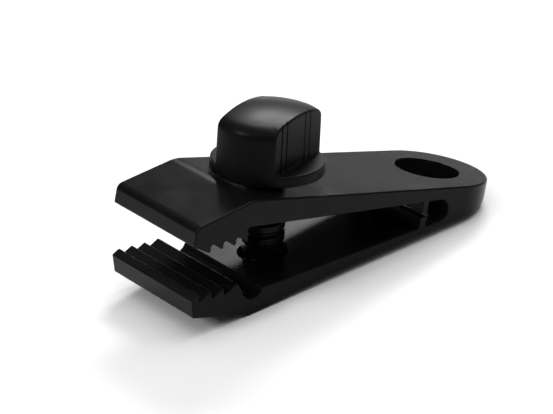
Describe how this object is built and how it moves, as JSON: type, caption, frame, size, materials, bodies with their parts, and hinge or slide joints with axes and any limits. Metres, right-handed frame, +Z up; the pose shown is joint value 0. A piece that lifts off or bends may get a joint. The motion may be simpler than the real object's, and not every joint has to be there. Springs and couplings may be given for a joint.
{
  "type": "tarp clip",
  "caption": "Screw-down tarp clip: a springy moulded V with toothed jaws and a rope eye at its closed end, drawn shut by a thumb screw in a swivelling nut.",
  "frame": {"origin": "centre of the rope eye, half-way through its height", "axes": "+X from the jaws towards the rope eye, +Y across the clip, +Z up, with the clip open and standing on the belly of its lower jaw and the rear edge of its eye"},
  "size_m": [0.0961, 0.0324, 0.0414],
  "materials": {
    "clip_plastic": "satin black, moulded",
    "knob_plastic": "satin black, moulded, a little rougher",
    "screw_plastic": "smooth black, moulded"
  },
  "bodies": {
    "eye_end": {"eye_end": "clip_plastic"},
    "upper_arm": {"upper_arm": "clip_plastic"},
    "lower_arm": {"lower_arm": "clip_plastic"},
    "thumb_screw": {"knob": "knob_plastic", "screw": "screw_plastic"},
    "swivel_nut": {"swivel_nut": "screw_plastic"}
  },
  "joints": [
    {"name": "screw_turn", "type": "hinge", "parent": "upper_arm", "child": "thumb_screw", "pos_m": [-0.04589, 0, 0.01993], "axis": [-0.151, 0, -0.9885], "range_deg": [0, 684]},
    {"name": "upper_flex", "type": "hinge", "parent": "eye_end", "child": "upper_arm", "pos_m": [-0.0078, 0, 0.0066], "axis": [0, -1, 0], "range_deg": [0, 2.1]},
    {"name": "lower_flex", "type": "hinge", "parent": "eye_end", "child": "lower_arm", "pos_m": [-0.01097, 0, -0.00406], "axis": [0, 1, 0], "range_deg": [0, 6.3]},
    {"name": "nut_travel", "type": "slide", "parent": "upper_arm", "child": "swivel_nut", "axis": [0.151, 0, 0.9885], "range_m": [0, 0.0057]}
  ],
  "couplings": [
    {"joint": "upper_flex", "follows": "screw_turn", "ratio": 0.0030702},
    {"joint": "lower_flex", "follows": "screw_turn", "ratio": 0.0092105},
    {"joint": "nut_travel", "follows": "screw_turn", "m_per_rad": 0.00047746}
  ]
}
